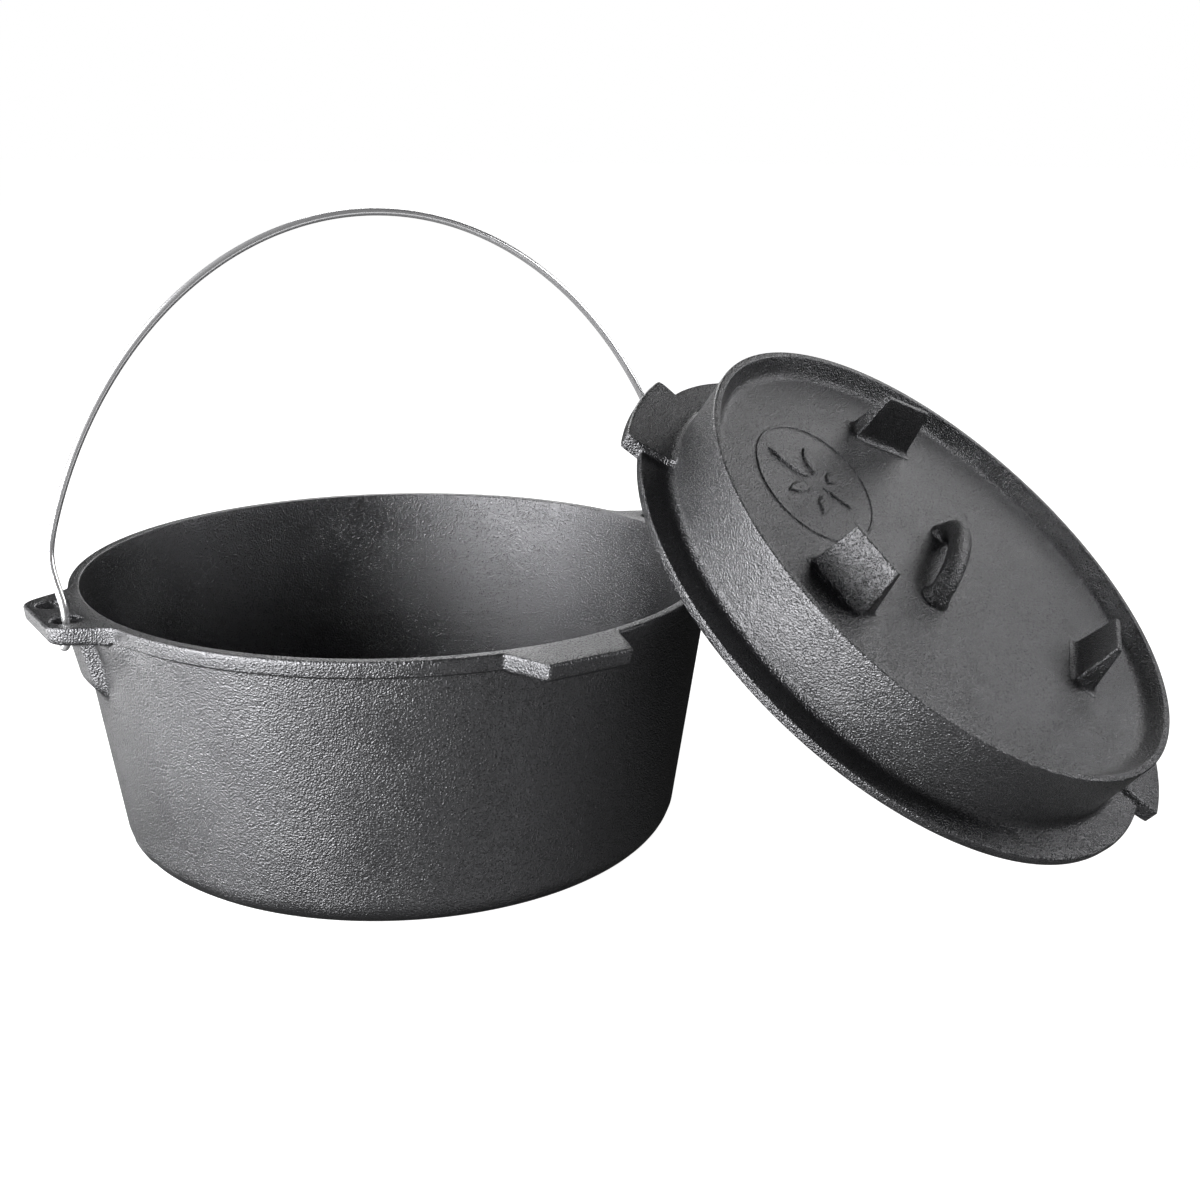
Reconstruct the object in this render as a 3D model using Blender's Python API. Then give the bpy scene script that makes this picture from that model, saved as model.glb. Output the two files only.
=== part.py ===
"""Camp oven: a cast iron dutch oven with a wire bail and a footed lid leaning on its side.

Units are metres, +Z is up. The pot stands on z = 0 with its axis on the Z axis, the bail's
ears lie along X and the grip tab points along -Y. The real object comes apart into three pieces:
the pot casting, the lid casting and the bent wire bail.
"""
import math

import bmesh
import bpy
from mathutils import Matrix, Vector

# ---- driving dimensions: the pot ------------------------------------------------------
RIM_RADIUS = 0.156          # outside of the rim
MOUTH_RADIUS = 0.1508       # inside of the rim
POT_HEIGHT = 0.129
BAND_HEIGHT = 0.007         # proud band round the rim
WALL_TOP_RADIUS = 0.1535    # outer wall just under the band
WALL_FOOT_RADIUS = 0.1366   # outer wall carried down to the ground
FOOT_ROUND = 0.012          # rounding between wall and base
BASE_THICKNESS = 0.006
WALL_THICKNESS = 0.0050
INSIDE_ROUND = 0.012
SLAB = 0.008                # thickness of the ears and the grip tab
ROUND_STEPS = 112           # facets round each casting

# ---- ears, gussets and the grip tab on the pot ----------------------------------------
EAR_REACH = 0.1755
EAR_TIP_HALF = 0.0235
EAR_ROOT_HALF = 0.0365
EAR_CORNER = 0.005
TAB_REACH = 0.1755
TAB_TIP_HALF = 0.0205
TAB_ROOT_HALF = 0.0290
TAB_CORNER = 0.006
ROOT_RADIUS = 0.1535        # ears and tab are cast into the rim from here outward
HOLE_RADIUS = 0.0066
HOLE_X = 0.1645
HOLE_Y = 0.0133
GUSSET_HALF = 0.011
GUSSET_TOP_X = 0.1610
GUSSET_FOOT_X = 0.1555
GUSSET_DROP = 0.026         # below the ear's underside
GUSSET_TAIL = 0.034         # where its foot runs out on the wall

# ---- driving dimensions: the lid, in its own frame, underside on z = 0 -----------------
LID_RADIUS = 0.1582
LID_EDGE = 0.0050
LID_WALL_FOOT = 0.1400      # coal ring wall where it leaves the flange
LID_WALL_TOP = 0.1417
LID_RING_TOP = 0.0433
LID_RING_INSIDE = 0.1380
LID_FLOOR_RADIUS = 0.1320
LID_FLOOR = 0.0335
LID_PLATE = 0.0050
LID_PAN_RADIUS = 0.1365     # hollow under the lid
LID_SPIGOT_RADIUS = 0.1490  # collar that drops inside the pot's rim
LID_SPIGOT = 0.0045
LID_TAB_REACH = 0.1680
LID_TAB_ANGLE = math.radians(11.5)
LID_TAB_THICK = 0.0080
LEG_INNER_FOOT = 0.0885
LEG_INNER_TOP = 0.0922
LEG_OUTER_TOP = 0.0952
LEG_OUTER_FOOT = 0.0997
LEG_FOOT_HALF = 0.0178
LEG_TOP_HALF = 0.0146
LEG_TOP = 0.0598
LOOP_HALF_SPAN = 0.0320
LOOP_HEIGHT = 0.0162
LOOP_BAR = 0.0056
LOOP_SHIFT = 0.0026         # the loop is cast a little off the lid's centre
LOOP_SIDE = -0.0023

# ---- where the lid leans at rest ------------------------------------------------------
LID_CENTRE = Vector((0.2211, -0.1221, 0.1024))
LID_LEAN_TOWARD = math.radians(-67.4)
LID_TILT = math.radians(38.4)
LID_TURN = math.radians(113.6)

# ---- driving dimensions: the bail -----------------------------------------------------
HINGE_HEIGHT = POT_HEIGHT - SLAB / 2
WIRE_RADIUS = 0.00175
BAIL_LEAN = math.radians(6.7)
BAIL_SET = -0.003           # arch plane, in front of the hinge line
ARCH_HALF = 0.1752          # half width of the ellipse that the arch follows
ARCH_RISE = 0.2052
ARCH_CENTRE = -0.0331
ARCH_START = 0.034          # height at which the wire leaves the ellipse for the ear
HOOK_RADIUS = 0.0105
HOOK_DROP = 0.0015          # centre of the hook's bend below the hinge line
HOOK_TIP = 0.0010


def clear_scene():
    for old in list(bpy.data.objects):
        bpy.data.objects.remove(old, do_unlink=True)


def iron_material(name, colour, roughness, metallic):
    made = bpy.data.materials.new(name)
    made.use_nodes = True
    shader = made.node_tree.nodes["Principled BSDF"]
    shader.inputs["Base Color"].default_value = (*colour, 1.0)
    shader.inputs["Roughness"].default_value = roughness
    shader.inputs["Metallic"].default_value = metallic
    return made


def add_object(name, mesh, parent=None):
    made = bpy.data.objects.new(name, mesh)
    bpy.context.scene.collection.objects.link(made)
    made.parent = parent
    return made


def arc(centre, radius, start, end, steps):
    """Points on an arc about centre, angles in radians, ends included."""
    points = []
    for step in range(steps + 1):
        angle = start + (end - start) * step / steps
        points.append((centre[0] + radius * math.cos(angle), centre[1] + radius * math.sin(angle)))
    return points


def rounded(points, radii, steps=4):
    """Replace each corner of an open or closed outline by an arc of the given radius."""
    count = len(points)
    result = []
    for index, corner in enumerate(points):
        radius = radii[index]
        if radius <= 0:
            result.append(tuple(corner))
            continue
        here = Vector(corner)
        back = (Vector(points[index - 1]) - here).normalized()
        ahead = (Vector(points[(index + 1) % count]) - here).normalized()
        half = back.angle(ahead) / 2
        middle = here + (back + ahead).normalized() * radius / math.sin(half)
        first = here + back * radius / math.tan(half) - middle
        last = here + ahead * radius / math.tan(half) - middle
        turn = first.angle_signed(last)
        for step in range(steps + 1):
            swing = Matrix.Rotation(-turn * step / steps, 2)
            spot = middle + swing @ first
            result.append((spot.x, spot.y))
    return result


def turned_mesh(name, profile):
    """An edge chain in the XZ plane, ready for a Screw modifier to turn into a solid."""
    mesh = bpy.data.meshes.new(name)
    vertices = [(radius, 0.0, height) for radius, height in profile]
    edges = [(index, index + 1) for index in range(len(profile) - 1)]
    mesh.from_pydata(vertices, edges, [])
    return mesh


def add_turning(target):
    screw = target.modifiers.new("turn", 'SCREW')
    screw.axis = 'Z'
    screw.angle = 2 * math.pi
    screw.steps = ROUND_STEPS
    screw.render_steps = ROUND_STEPS
    screw.use_merge_vertices = True
    screw.merge_threshold = 0.00001
    screw.use_smooth_shade = True


def slab_mesh(name, outline, bottom, top):
    """A plate with the given outline between two heights."""
    shape = bmesh.new()
    corners = [shape.verts.new((x, y, bottom)) for x, y in outline]
    face = shape.faces.new(corners)
    raised = bmesh.ops.extrude_face_region(shape, geom=[face])
    moved = [item for item in raised["geom"] if isinstance(item, bmesh.types.BMVert)]
    bmesh.ops.translate(shape, verts=moved, vec=(0.0, 0.0, top - bottom))
    bmesh.ops.recalc_face_normals(shape, faces=shape.faces)
    mesh = bpy.data.meshes.new(name)
    shape.to_mesh(mesh)
    shape.free()
    return mesh


def hexahedron_mesh(name, lower, upper):
    """A block with a four-cornered foot and a four-cornered top."""
    shape = bmesh.new()
    for corner in (*lower, *upper):
        shape.verts.new(corner)
    bmesh.ops.convex_hull(shape, input=shape.verts)
    bmesh.ops.dissolve_limit(shape, angle_limit=0.001, verts=shape.verts, edges=shape.edges)
    bmesh.ops.recalc_face_normals(shape, faces=shape.faces)
    mesh = bpy.data.meshes.new(name)
    shape.to_mesh(mesh)
    shape.free()
    return mesh


def helper(name, mesh, parent, mirror_axes=()):
    """A shape that is only added to or cut from a casting."""
    made = add_object(name, mesh, parent)
    made.hide_render = True
    made.display_type = 'WIRE'
    if mirror_axes:
        mirror = made.modifiers.new("other_side", 'MIRROR')
        mirror.use_axis = ['X' in mirror_axes, 'Y' in mirror_axes, False]
        mirror.use_mirror_merge = False
    return made


def combine(target, operation, other):
    boolean = target.modifiers.new(other.name, 'BOOLEAN')
    boolean.operation = operation
    boolean.solver = 'EXACT'
    boolean.object = other


def pot_profile():
    """From the middle of the inside floor, up, over the rim and down the outside."""
    slope = (WALL_TOP_RADIUS - WALL_FOOT_RADIUS) / (POT_HEIGHT - BAND_HEIGHT)
    inside_foot = WALL_FOOT_RADIUS - WALL_THICKNESS + slope * BASE_THICKNESS
    band = POT_HEIGHT - BAND_HEIGHT
    corners = [
        (0.0, BASE_THICKNESS),
        (inside_foot, BASE_THICKNESS),
        (MOUTH_RADIUS, POT_HEIGHT),
        (RIM_RADIUS, POT_HEIGHT),
        (RIM_RADIUS - 0.0006, band),
        (WALL_TOP_RADIUS, band - 0.0015),
        (WALL_FOOT_RADIUS, 0.0),
        (0.0, 0.0),
    ]
    radii = [0, INSIDE_ROUND, 0, 0, 0, 0, FOOT_ROUND, 0]
    return rounded(corners, radii, steps=6)


def bracket_outline(reach, tip_half, root_half, corner):
    """A shield-shaped plate reaching out along +X from inside the rim."""
    root_angle = math.asin(root_half / ROOT_RADIUS)
    root_x = ROOT_RADIUS * math.cos(root_angle)
    outer = rounded(
        [(root_x, -root_half), (reach, -tip_half), (reach, tip_half), (root_x, root_half)],
        [0, corner, corner, 0],
    )
    inner = arc((0.0, 0.0), ROOT_RADIUS, root_angle, -root_angle, 10)[1:-1]
    return outer + inner


def turn_outline(outline, angle):
    cosine, sine = math.cos(angle), math.sin(angle)
    return [(x * cosine - y * sine, x * sine + y * cosine) for x, y in outline]


def gusset_mesh():
    """The wedge under an ear that carries it down onto the wall."""
    ear_bottom = POT_HEIGHT - SLAB
    sunk = 0.0020
    root = 0.1510
    top, foot, tail = ear_bottom + sunk, ear_bottom - GUSSET_DROP, ear_bottom - GUSSET_TAIL
    shape = bmesh.new()
    side = [(root, top), (GUSSET_TOP_X, top), (GUSSET_FOOT_X, foot), (root - 0.002, tail)]
    corners = [shape.verts.new((x, -GUSSET_HALF, z)) for x, z in side]
    face = shape.faces.new(corners)
    raised = bmesh.ops.extrude_face_region(shape, geom=[face])
    moved = [item for item in raised["geom"] if isinstance(item, bmesh.types.BMVert)]
    bmesh.ops.translate(shape, verts=moved, vec=(0.0, 2 * GUSSET_HALF, 0.0))
    bmesh.ops.recalc_face_normals(shape, faces=shape.faces)
    mesh = bpy.data.meshes.new("gusset")
    shape.to_mesh(mesh)
    shape.free()
    return mesh


def hole_mesh():
    """Cutter for one of an ear's two round holes, open down to the gusset."""
    outline = arc((HOLE_X, HOLE_Y), HOLE_RADIUS, 0.0, 2 * math.pi, 24)[:-1]
    return slab_mesh("ear_hole", outline, POT_HEIGHT - SLAB - 0.0005, POT_HEIGHT + 0.002)


def build_pot():
    pot = add_object("pot", turned_mesh("pot", pot_profile()))
    pot.data.materials.append(iron_material("pot_iron", (0.035, 0.036, 0.038), 0.55, 0.6))
    add_turning(pot)
    low, high = POT_HEIGHT - SLAB, POT_HEIGHT
    ear = bracket_outline(EAR_REACH, EAR_TIP_HALF, EAR_ROOT_HALF, EAR_CORNER)
    tab = bracket_outline(TAB_REACH, TAB_TIP_HALF, TAB_ROOT_HALF, TAB_CORNER)
    tab = turn_outline(tab, -math.pi / 2)
    for shape in (
        helper("gusset_shape", gusset_mesh(), pot, "X"),
        helper("ear_shape", slab_mesh("ear", ear, low, high), pot, "X"),
        helper("tab_shape", slab_mesh("tab", tab, low, high), pot),
    ):
        combine(pot, 'UNION', shape)
    combine(pot, 'DIFFERENCE', helper("hole_cutter", hole_mesh(), pot, "XY"))
    return pot


def lid_profile():
    """From the middle of the coal tray out over the ring, round the flange and back under."""
    ceiling = LID_FLOOR - LID_PLATE
    corners = [
        (0.0, LID_FLOOR - 0.0010),
        (LID_FLOOR_RADIUS, LID_FLOOR),
        (LID_RING_INSIDE, LID_RING_TOP),
        (LID_WALL_TOP, LID_RING_TOP),
        (LID_WALL_FOOT, LID_EDGE),
        (LID_RADIUS, LID_EDGE),
        (LID_RADIUS, 0.0),
        (LID_SPIGOT_RADIUS, 0.0),
        (LID_SPIGOT_RADIUS - 0.0010, -LID_SPIGOT),
        (LID_PAN_RADIUS, -LID_SPIGOT),
        (LID_PAN_RADIUS - 0.0030, ceiling),
        (0.0, ceiling - 0.0010),
    ]
    radii = [0, 0.0060, 0.0008, 0.0008, 0.0050, 0.0006, 0.0006, 0, 0.0010, 0.0015, 0.0080, 0]
    return rounded(corners, radii, steps=3)


def lid_tab_outline():
    """A grip tab of the lid, its outer edge an arc about the lid's axis."""
    inner = LID_RADIUS - 0.006
    splay = LID_TAB_ANGLE + math.radians(1.6)
    corners = [
        (inner * math.cos(splay), -inner * math.sin(splay)),
        (LID_TAB_REACH * math.cos(LID_TAB_ANGLE), -LID_TAB_REACH * math.sin(LID_TAB_ANGLE)),
    ]
    edge = arc((0.0, 0.0), LID_TAB_REACH, -LID_TAB_ANGLE, LID_TAB_ANGLE, 8)
    root = LID_WALL_FOOT - 0.002
    back = arc((0.0, 0.0), root, splay, -splay, 8)
    return [corners[0]] + edge + [(corners[0][0], -corners[0][1])] + back


def leg_mesh(angle):
    """One wedge-shaped leg: upright inside face, raked outside face, sunk into the plate."""
    sunk = LID_FLOOR - 0.0030
    lower = [(LEG_INNER_FOOT, -LEG_FOOT_HALF, sunk), (LEG_OUTER_FOOT, -LEG_FOOT_HALF, sunk),
             (LEG_OUTER_FOOT, LEG_FOOT_HALF, sunk), (LEG_INNER_FOOT, LEG_FOOT_HALF, sunk)]
    upper = [(LEG_INNER_TOP, -LEG_TOP_HALF, LEG_TOP), (LEG_OUTER_TOP, -LEG_TOP_HALF, LEG_TOP),
             (LEG_OUTER_TOP, LEG_TOP_HALF, LEG_TOP), (LEG_INNER_TOP, LEG_TOP_HALF, LEG_TOP)]
    mesh = hexahedron_mesh("leg", lower, upper)
    mesh.transform(Matrix.Rotation(angle, 4, 'Z'))
    return mesh


def join_seams(mesh):
    """Weld the end caps of a bar to its side, so that the bar is one closed skin."""
    shape = bmesh.new()
    shape.from_mesh(mesh)
    bmesh.ops.remove_doubles(shape, verts=shape.verts, dist=0.00001)
    bmesh.ops.recalc_face_normals(shape, faces=shape.faces)
    shape.to_mesh(mesh)
    shape.free()


def curve_object(name, points, radius, facets):
    """A round bar along a run of points, with closed ends."""
    curve = bpy.data.curves.new(name, 'CURVE')
    curve.dimensions = '3D'
    curve.bevel_depth = radius
    curve.bevel_resolution = facets
    curve.use_fill_caps = True
    spline = curve.splines.new('POLY')
    spline.points.add(len(points) - 1)
    for spot, point in zip(spline.points, points):
        spot.co = (*point, 1.0)
    return add_object(name, curve)


def loop_mesh():
    """The carrying loop: half an ellipse of round bar, its feet sunk into the lid."""
    foot = LID_FLOOR - 0.0040
    points = [(LOOP_SIDE, LOOP_SHIFT + LOOP_HALF_SPAN, foot)]
    for step in range(17):
        angle = math.pi * step / 16
        along = LOOP_SHIFT + LOOP_HALF_SPAN * math.cos(angle)
        points.append((LOOP_SIDE, along, LID_FLOOR - 0.001 + LOOP_HEIGHT * math.sin(angle)))
    points.append((LOOP_SIDE, LOOP_SHIFT - LOOP_HALF_SPAN, foot))
    bar = curve_object("loop_bar", points, LOOP_BAR, 3)
    bpy.context.view_layer.update()
    mesh = bpy.data.meshes.new_from_object(bar.evaluated_get(bpy.context.evaluated_depsgraph_get()))
    bpy.data.objects.remove(bar, do_unlink=True)
    join_seams(mesh)
    return mesh


def lid_pose():
    """The lid's own frame in the world: leaning outward and turned about its axis."""
    turned = Matrix.Rotation(LID_LEAN_TOWARD, 4, 'Z') @ Matrix.Rotation(LID_TILT, 4, 'Y')
    features = Matrix.Rotation(math.pi / 2 + LID_TURN, 4, 'Z')
    return Matrix.Translation(LID_CENTRE) @ turned @ features


def build_lid():
    seat = bpy.data.objects.new("lid_seat", None)
    bpy.context.scene.collection.objects.link(seat)
    seat.matrix_world = lid_pose()
    lid = add_object("lid", turned_mesh("lid", lid_profile()), seat)
    lid.data.materials.append(iron_material("lid_iron", (0.042, 0.043, 0.045), 0.5, 0.6))
    add_turning(lid)
    tab = slab_mesh("lid_tab", lid_tab_outline(), 0.0, LID_TAB_THICK)
    combine(lid, 'UNION', helper("lid_tab_shape", tab, lid, "X"))
    for number in range(3):
        angle = math.pi + number * 2 * math.pi / 3
        combine(lid, 'UNION', helper(f"leg_shape_{number + 1}", leg_mesh(angle), lid))
    combine(lid, 'UNION', helper("loop_shape", loop_mesh(), lid))
    return lid


def arch_point(angle):
    return Vector((ARCH_HALF * math.cos(angle), BAIL_SET, ARCH_CENTRE + ARCH_RISE * math.sin(angle)))


def bail_points():
    """Centre line of the wire about its hinge line, from the left hook over to the right."""
    start_angle = math.asin((ARCH_START - ARCH_CENTRE) / ARCH_RISE)
    leg_top = Vector((HOLE_X, -HOOK_RADIUS, 0.0055))
    start = arch_point(start_angle)
    rising = (arch_point(start_angle + 0.01) - start).normalized()
    reach = (start - leg_top).length * 0.45
    hook = [Vector((HOLE_X, HOOK_RADIUS, HOOK_TIP))]
    for y, z in arc((0.0, -HOOK_DROP), HOOK_RADIUS, 0.0, -math.pi, 14):
        hook.append(Vector((HOLE_X, y, z)))
    for step in range(13):
        part = step / 12
        low, high = leg_top + Vector((0, 0, reach)), start - rising * reach
        hook.append(leg_top * (1 - part) ** 3 + low * 3 * part * (1 - part) ** 2
                    + high * 3 * part ** 2 * (1 - part) + start * part ** 3)
    far_hook = [Vector((-point.x, point.y, point.z)) for point in hook]
    arch = []
    for step in range(1, 64):
        angle = math.pi - start_angle - (math.pi - 2 * start_angle) * step / 64
        arch.append(arch_point(angle))
    return far_hook + arch + hook[::-1]


def build_bail():
    bail = curve_object("bail", bail_points(), WIRE_RADIUS, 2)
    bail.data.materials.append(iron_material("bail_steel", (0.62, 0.62, 0.63), 0.25, 1.0))
    bail.location = (0.0, 0.0, HINGE_HEIGHT)
    bail.rotation_euler = (-BAIL_LEAN, 0.0, 0.0)
    return bail


def main():
    clear_scene()
    build_pot()
    build_lid()
    build_bail()
    bpy.context.view_layer.update()


main()
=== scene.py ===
# %% [markdown]
# # A camp oven in cast iron
# The oven is three pieces: a pot poured in one go with its ears and grip tab, a lid poured in one
# go with its coal ring, legs and carrying loop, and a bent wire bail. The measured solids are loaded
# first. They hold the sizes, the places and the joints, and everything below is made round them.

# %% Load the measured solids
import math

import bpy
import numpy as np
from mathutils import Matrix, Vector


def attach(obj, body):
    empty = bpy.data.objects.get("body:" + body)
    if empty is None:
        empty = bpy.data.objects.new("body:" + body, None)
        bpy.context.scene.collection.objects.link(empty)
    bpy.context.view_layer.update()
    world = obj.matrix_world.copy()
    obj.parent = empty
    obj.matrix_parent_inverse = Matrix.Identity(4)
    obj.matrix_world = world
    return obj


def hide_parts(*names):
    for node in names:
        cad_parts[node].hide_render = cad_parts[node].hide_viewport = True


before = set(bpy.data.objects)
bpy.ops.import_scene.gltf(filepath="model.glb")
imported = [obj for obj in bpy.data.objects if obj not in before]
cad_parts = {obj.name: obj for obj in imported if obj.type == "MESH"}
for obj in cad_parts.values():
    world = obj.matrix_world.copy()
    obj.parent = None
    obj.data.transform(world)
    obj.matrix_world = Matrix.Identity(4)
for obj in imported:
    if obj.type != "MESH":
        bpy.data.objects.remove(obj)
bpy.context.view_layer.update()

# %% [markdown]
# ## Surfaces as grids
# A casting has no sharp corners: sand moulds round every edge and fill every inside corner. Beveling
# a finished solid would give every edge the same round, so the surfaces are worked out as a function
# of two parameters instead. One runs along a section through the metal, the other round the axis.
# `rounded` turns a section's corners into arcs, and it does so for every column at once, because an
# ear makes each column's section a little different from the next.


# %% Round a whole family of sections
def rounded(corners, radii, arc_steps, run_steps):
    """Sections with each corner replaced by an arc.

    corners is (columns, corners, 2), radii (columns, corners) with 0 at both ends. An arc touches
    both sides at radius / tan(half the corner's angle) from the corner, and its points turn evenly
    from the first touching point to the second. Returns (columns, rows, 2).
    """
    back = corners[:, :-2] - corners[:, 1:-1]
    ahead = corners[:, 2:] - corners[:, 1:-1]
    back /= np.linalg.norm(back, axis=2, keepdims=True)
    ahead /= np.linalg.norm(ahead, axis=2, keepdims=True)
    half = np.arccos(np.clip((back * ahead).sum(2), -1, 1)) / 2
    radius = radii[:, 1:-1]
    touch = (radius / np.tan(half))[..., None]
    inward = (back + ahead) / np.linalg.norm(back + ahead, axis=2, keepdims=True)
    centre = corners[:, 1:-1] + inward * (radius / np.sin(half))[..., None]
    first = corners[:, 1:-1] + back * touch
    last = corners[:, 1:-1] + ahead * touch
    sweep = np.maximum(math.pi - 2 * half, 1e-4)[..., None]
    rows = []
    start = corners[:, 0]
    for number in range(corners.shape[1] - 2):
        share = np.linspace(0, 1, run_steps[number] + 1)[None, :-1, None]
        rows.append(start[:, None] * (1 - share) + first[:, number, None] * share)
        share = np.linspace(0, 1, arc_steps[number] + 1)[None, :-1, None]
        angle = sweep[:, number, None]
        spoke_in = (first - centre)[:, number, None]
        spoke_out = (last - centre)[:, number, None]
        turned = np.sin((1 - share) * angle) * spoke_in + np.sin(share * angle) * spoke_out
        rows.append(centre[:, number, None] + turned / np.sin(angle))
        start = last[:, number]
    share = np.linspace(0, 1, run_steps[-1] + 1)[None, :, None]
    rows.append(start[:, None] * (1 - share) + corners[:, -1, None] * share)
    return np.concatenate(rows, axis=1)


# %% Turn a grid of points into a closed mesh
def closed_skin(name, grid):
    """A mesh from grid (columns, rows, 3) that wraps round over the columns.

    The first and last row are each pulled together into one pole point. Squares join neighbouring
    rows, triangles fan round the poles, and the skin is turned over if its volume comes out negative.
    """
    columns, rows = grid.shape[:2]
    middle = grid[:, 1:-1].reshape(-1, 3)
    poles = np.array([grid[:, 0].mean(0), grid[:, -1].mean(0)])
    points = np.concatenate([middle, poles])
    index = np.arange(columns * (rows - 2)).reshape(columns, rows - 2)
    after = np.roll(index, -1, axis=0)
    squares = np.stack([index[:, :-1], after[:, :-1], after[:, 1:], index[:, 1:]], 2).reshape(-1, 4)
    first, last = len(points) - 2, len(points) - 1
    fan_in = np.stack([np.full(columns, first), after[:, 0], index[:, 0]], 1)
    fan_out = np.stack([np.full(columns, last), index[:, -1], after[:, -1]], 1)
    triangles = np.concatenate([fan_in, fan_out])
    corner = points[squares]
    volume = np.einsum("ij,ij->i", corner[:, 0], np.cross(corner[:, 1], corner[:, 2])).sum()
    volume += np.einsum("ij,ij->i", corner[:, 0], np.cross(corner[:, 2], corner[:, 3])).sum()
    if volume < 0:
        squares, triangles = squares[:, ::-1], triangles[:, ::-1]
    mesh = bpy.data.meshes.new(name)
    mesh.vertices.add(len(points))
    mesh.vertices.foreach_set("co", points.astype(np.float32).ravel())
    mesh.loops.add(squares.size + triangles.size)
    mesh.loops.foreach_set("vertex_index", np.concatenate([squares.ravel(), triangles.ravel()]))
    starts = np.concatenate([np.arange(len(squares)) * 4,
                             squares.size + np.arange(len(triangles)) * 3])
    mesh.polygons.add(len(starts))
    mesh.polygons.foreach_set("loop_start", starts)
    mesh.polygons.foreach_set("use_smooth", np.ones(len(starts), bool))
    mesh.update(calc_edges=True)
    mesh.validate()
    return mesh


def piece(name, mesh):
    """Link a mesh into the scene as an object at the origin."""
    made = bpy.data.objects.new(name, mesh)
    bpy.context.scene.collection.objects.link(made)
    return made


SHARP_ANGLE = math.radians(38)


def cast_together(target, operation, tools):
    """Join tools to target, or cut them out of it, and leave one plain mesh behind."""
    for tool in tools:
        modifier = target.modifiers.new("cast", "BOOLEAN")
        modifier.operation = operation
        modifier.solver = "MANIFOLD"
        modifier.object = tool
        bpy.context.view_layer.update()
        graph = bpy.context.evaluated_depsgraph_get()
        made = bpy.data.meshes.new_from_object(target.evaluated_get(graph))
        target.modifiers.remove(modifier)
        spent, target.data = target.data, made
        bpy.data.meshes.remove(spent)
        bpy.data.objects.remove(tool, do_unlink=True)
    target.data.shade_smooth()
    target.data.set_sharp_from_angle(angle=SHARP_ANGLE)
    print(target.name, operation.lower(), len(tools), "->", len(target.data.polygons), "faces")


# %% Blend two shapes without a crease
def soft_min(a, b, width):
    """The smaller of two arrays, with the crease rounded over width."""
    mix = np.clip(0.5 + 0.5 * (b - a) / width, 0, 1)
    return b * (1 - mix) + a * mix - width * mix * (1 - mix)


def soft_max(a, b, width):
    """The larger of two arrays, with the crease rounded over width."""
    return -soft_min(-a, -b, width)


def smooth_step(value, low, high):
    """0 below low, 1 above high, and a smooth S between."""
    share = np.clip((value - low) / (high - low), 0, 1)
    return share * share * (3 - 2 * share)


# %% [markdown]
# ## Where the columns go round the axis
# The plain wall needs few columns, but the outline of an ear turns a corner within a few
# millimetres. The columns are spaced by a density that is high near the ears and tab, and their
# angles come from inverting its running sum.


# %% Angles for the columns
def column_angles(count, crowded):
    """count angles in a full turn, denser near each (angle, half width, extra density)."""
    fine = np.linspace(0, 2 * math.pi, 20001)
    density = np.ones_like(fine)
    for angle, half_width, extra in crowded:
        away = np.abs((fine - angle + math.pi) % (2 * math.pi) - math.pi)
        density += extra * (1 - smooth_step(away, half_width, half_width * 1.4))
    running = np.concatenate([[0], np.cumsum((density[1:] + density[:-1]) / 2)])
    running /= running[-1]
    return np.interp(np.arange(count) / count, running, fine)


def around(angle, centre):
    """Signed angle from centre, between minus and plus half a turn."""
    return (angle - centre + math.pi) % (2 * math.pi) - math.pi


# %% [markdown]
# ## The pot
# A deep, slightly conical wall of 5 mm on a flat base, with a proud band round the rim. Two ears
# carry the bail, each with two round holes and a thick gusset below that runs out on the wall. One
# plain grip tab sits a quarter turn from them. They could be separate plates joined to a turned pot,
# but then the long soft fillets of the casting would be missing. Here the rim's outer edge is a
# function of the angle, so ears, tab and rim are one surface.

# %% Pot dimensions in metres
RIM = 0.156  # outside radius of the rim
MOUTH = 0.1508  # inside radius of the rim
HEIGHT = 0.129
BAND = 0.007  # height of the proud band
WALL_TOP = 0.1535  # outside radius just under the band
WALL_FOOT = 0.1366  # outside radius carried down to the ground
BASE = 0.006
WALL = 0.005
SLAB = 0.008  # thickness of the ears and the tab
REACH = 0.1755  # from the axis to the tip of an ear or the tab
EAR_TIP, EAR_ROOT = 0.0235, 0.0365  # half widths
EAR_CORNER, EAR_BLEND = 0.0085, 0.0050
TAB_TIP, TAB_ROOT = 0.0205, 0.0290
TAB_CORNER, TAB_BLEND = 0.0030, 0.0022
BRACKET_WINDOW = 0.5  # radians either side of a bracket's middle
HOLE_X, HOLE_Y, HOLE_RADIUS = 0.1645, 0.0133, 0.0066
DRAFT = (WALL_TOP - WALL_FOOT) / (HEIGHT - BAND)
print("pot", HEIGHT, "m high,", 2 * RIM, "m across the rim")


# %% Outline of the rim with its ears and tab
def bracket_reach(away, tip_half, root_half, corner):
    """Distance from the axis to a bracket's edge, at a signed angle from its middle.

    Two straight edges bound it: the tip, a line across at REACH, and a slanting side that runs from
    the tip's end to the root. In polar form a line is its distance from the axis over a cosine.
    """
    tip = REACH / np.maximum(np.cos(away), 0.2)
    root_x = math.sqrt(WALL_TOP ** 2 - root_half ** 2)
    side = np.array([root_x - REACH, root_half - tip_half])
    normal = np.array([side[1], -side[0]]) / np.linalg.norm(side)
    distance = normal @ np.array([REACH, tip_half])
    lean = math.atan2(normal[1], normal[0])
    facing = np.cos(np.abs(away) - lean)
    slant = np.where(facing > 0.05, distance / np.maximum(facing, 0.05), 1.0)
    return soft_min(tip, slant, corner)


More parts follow.
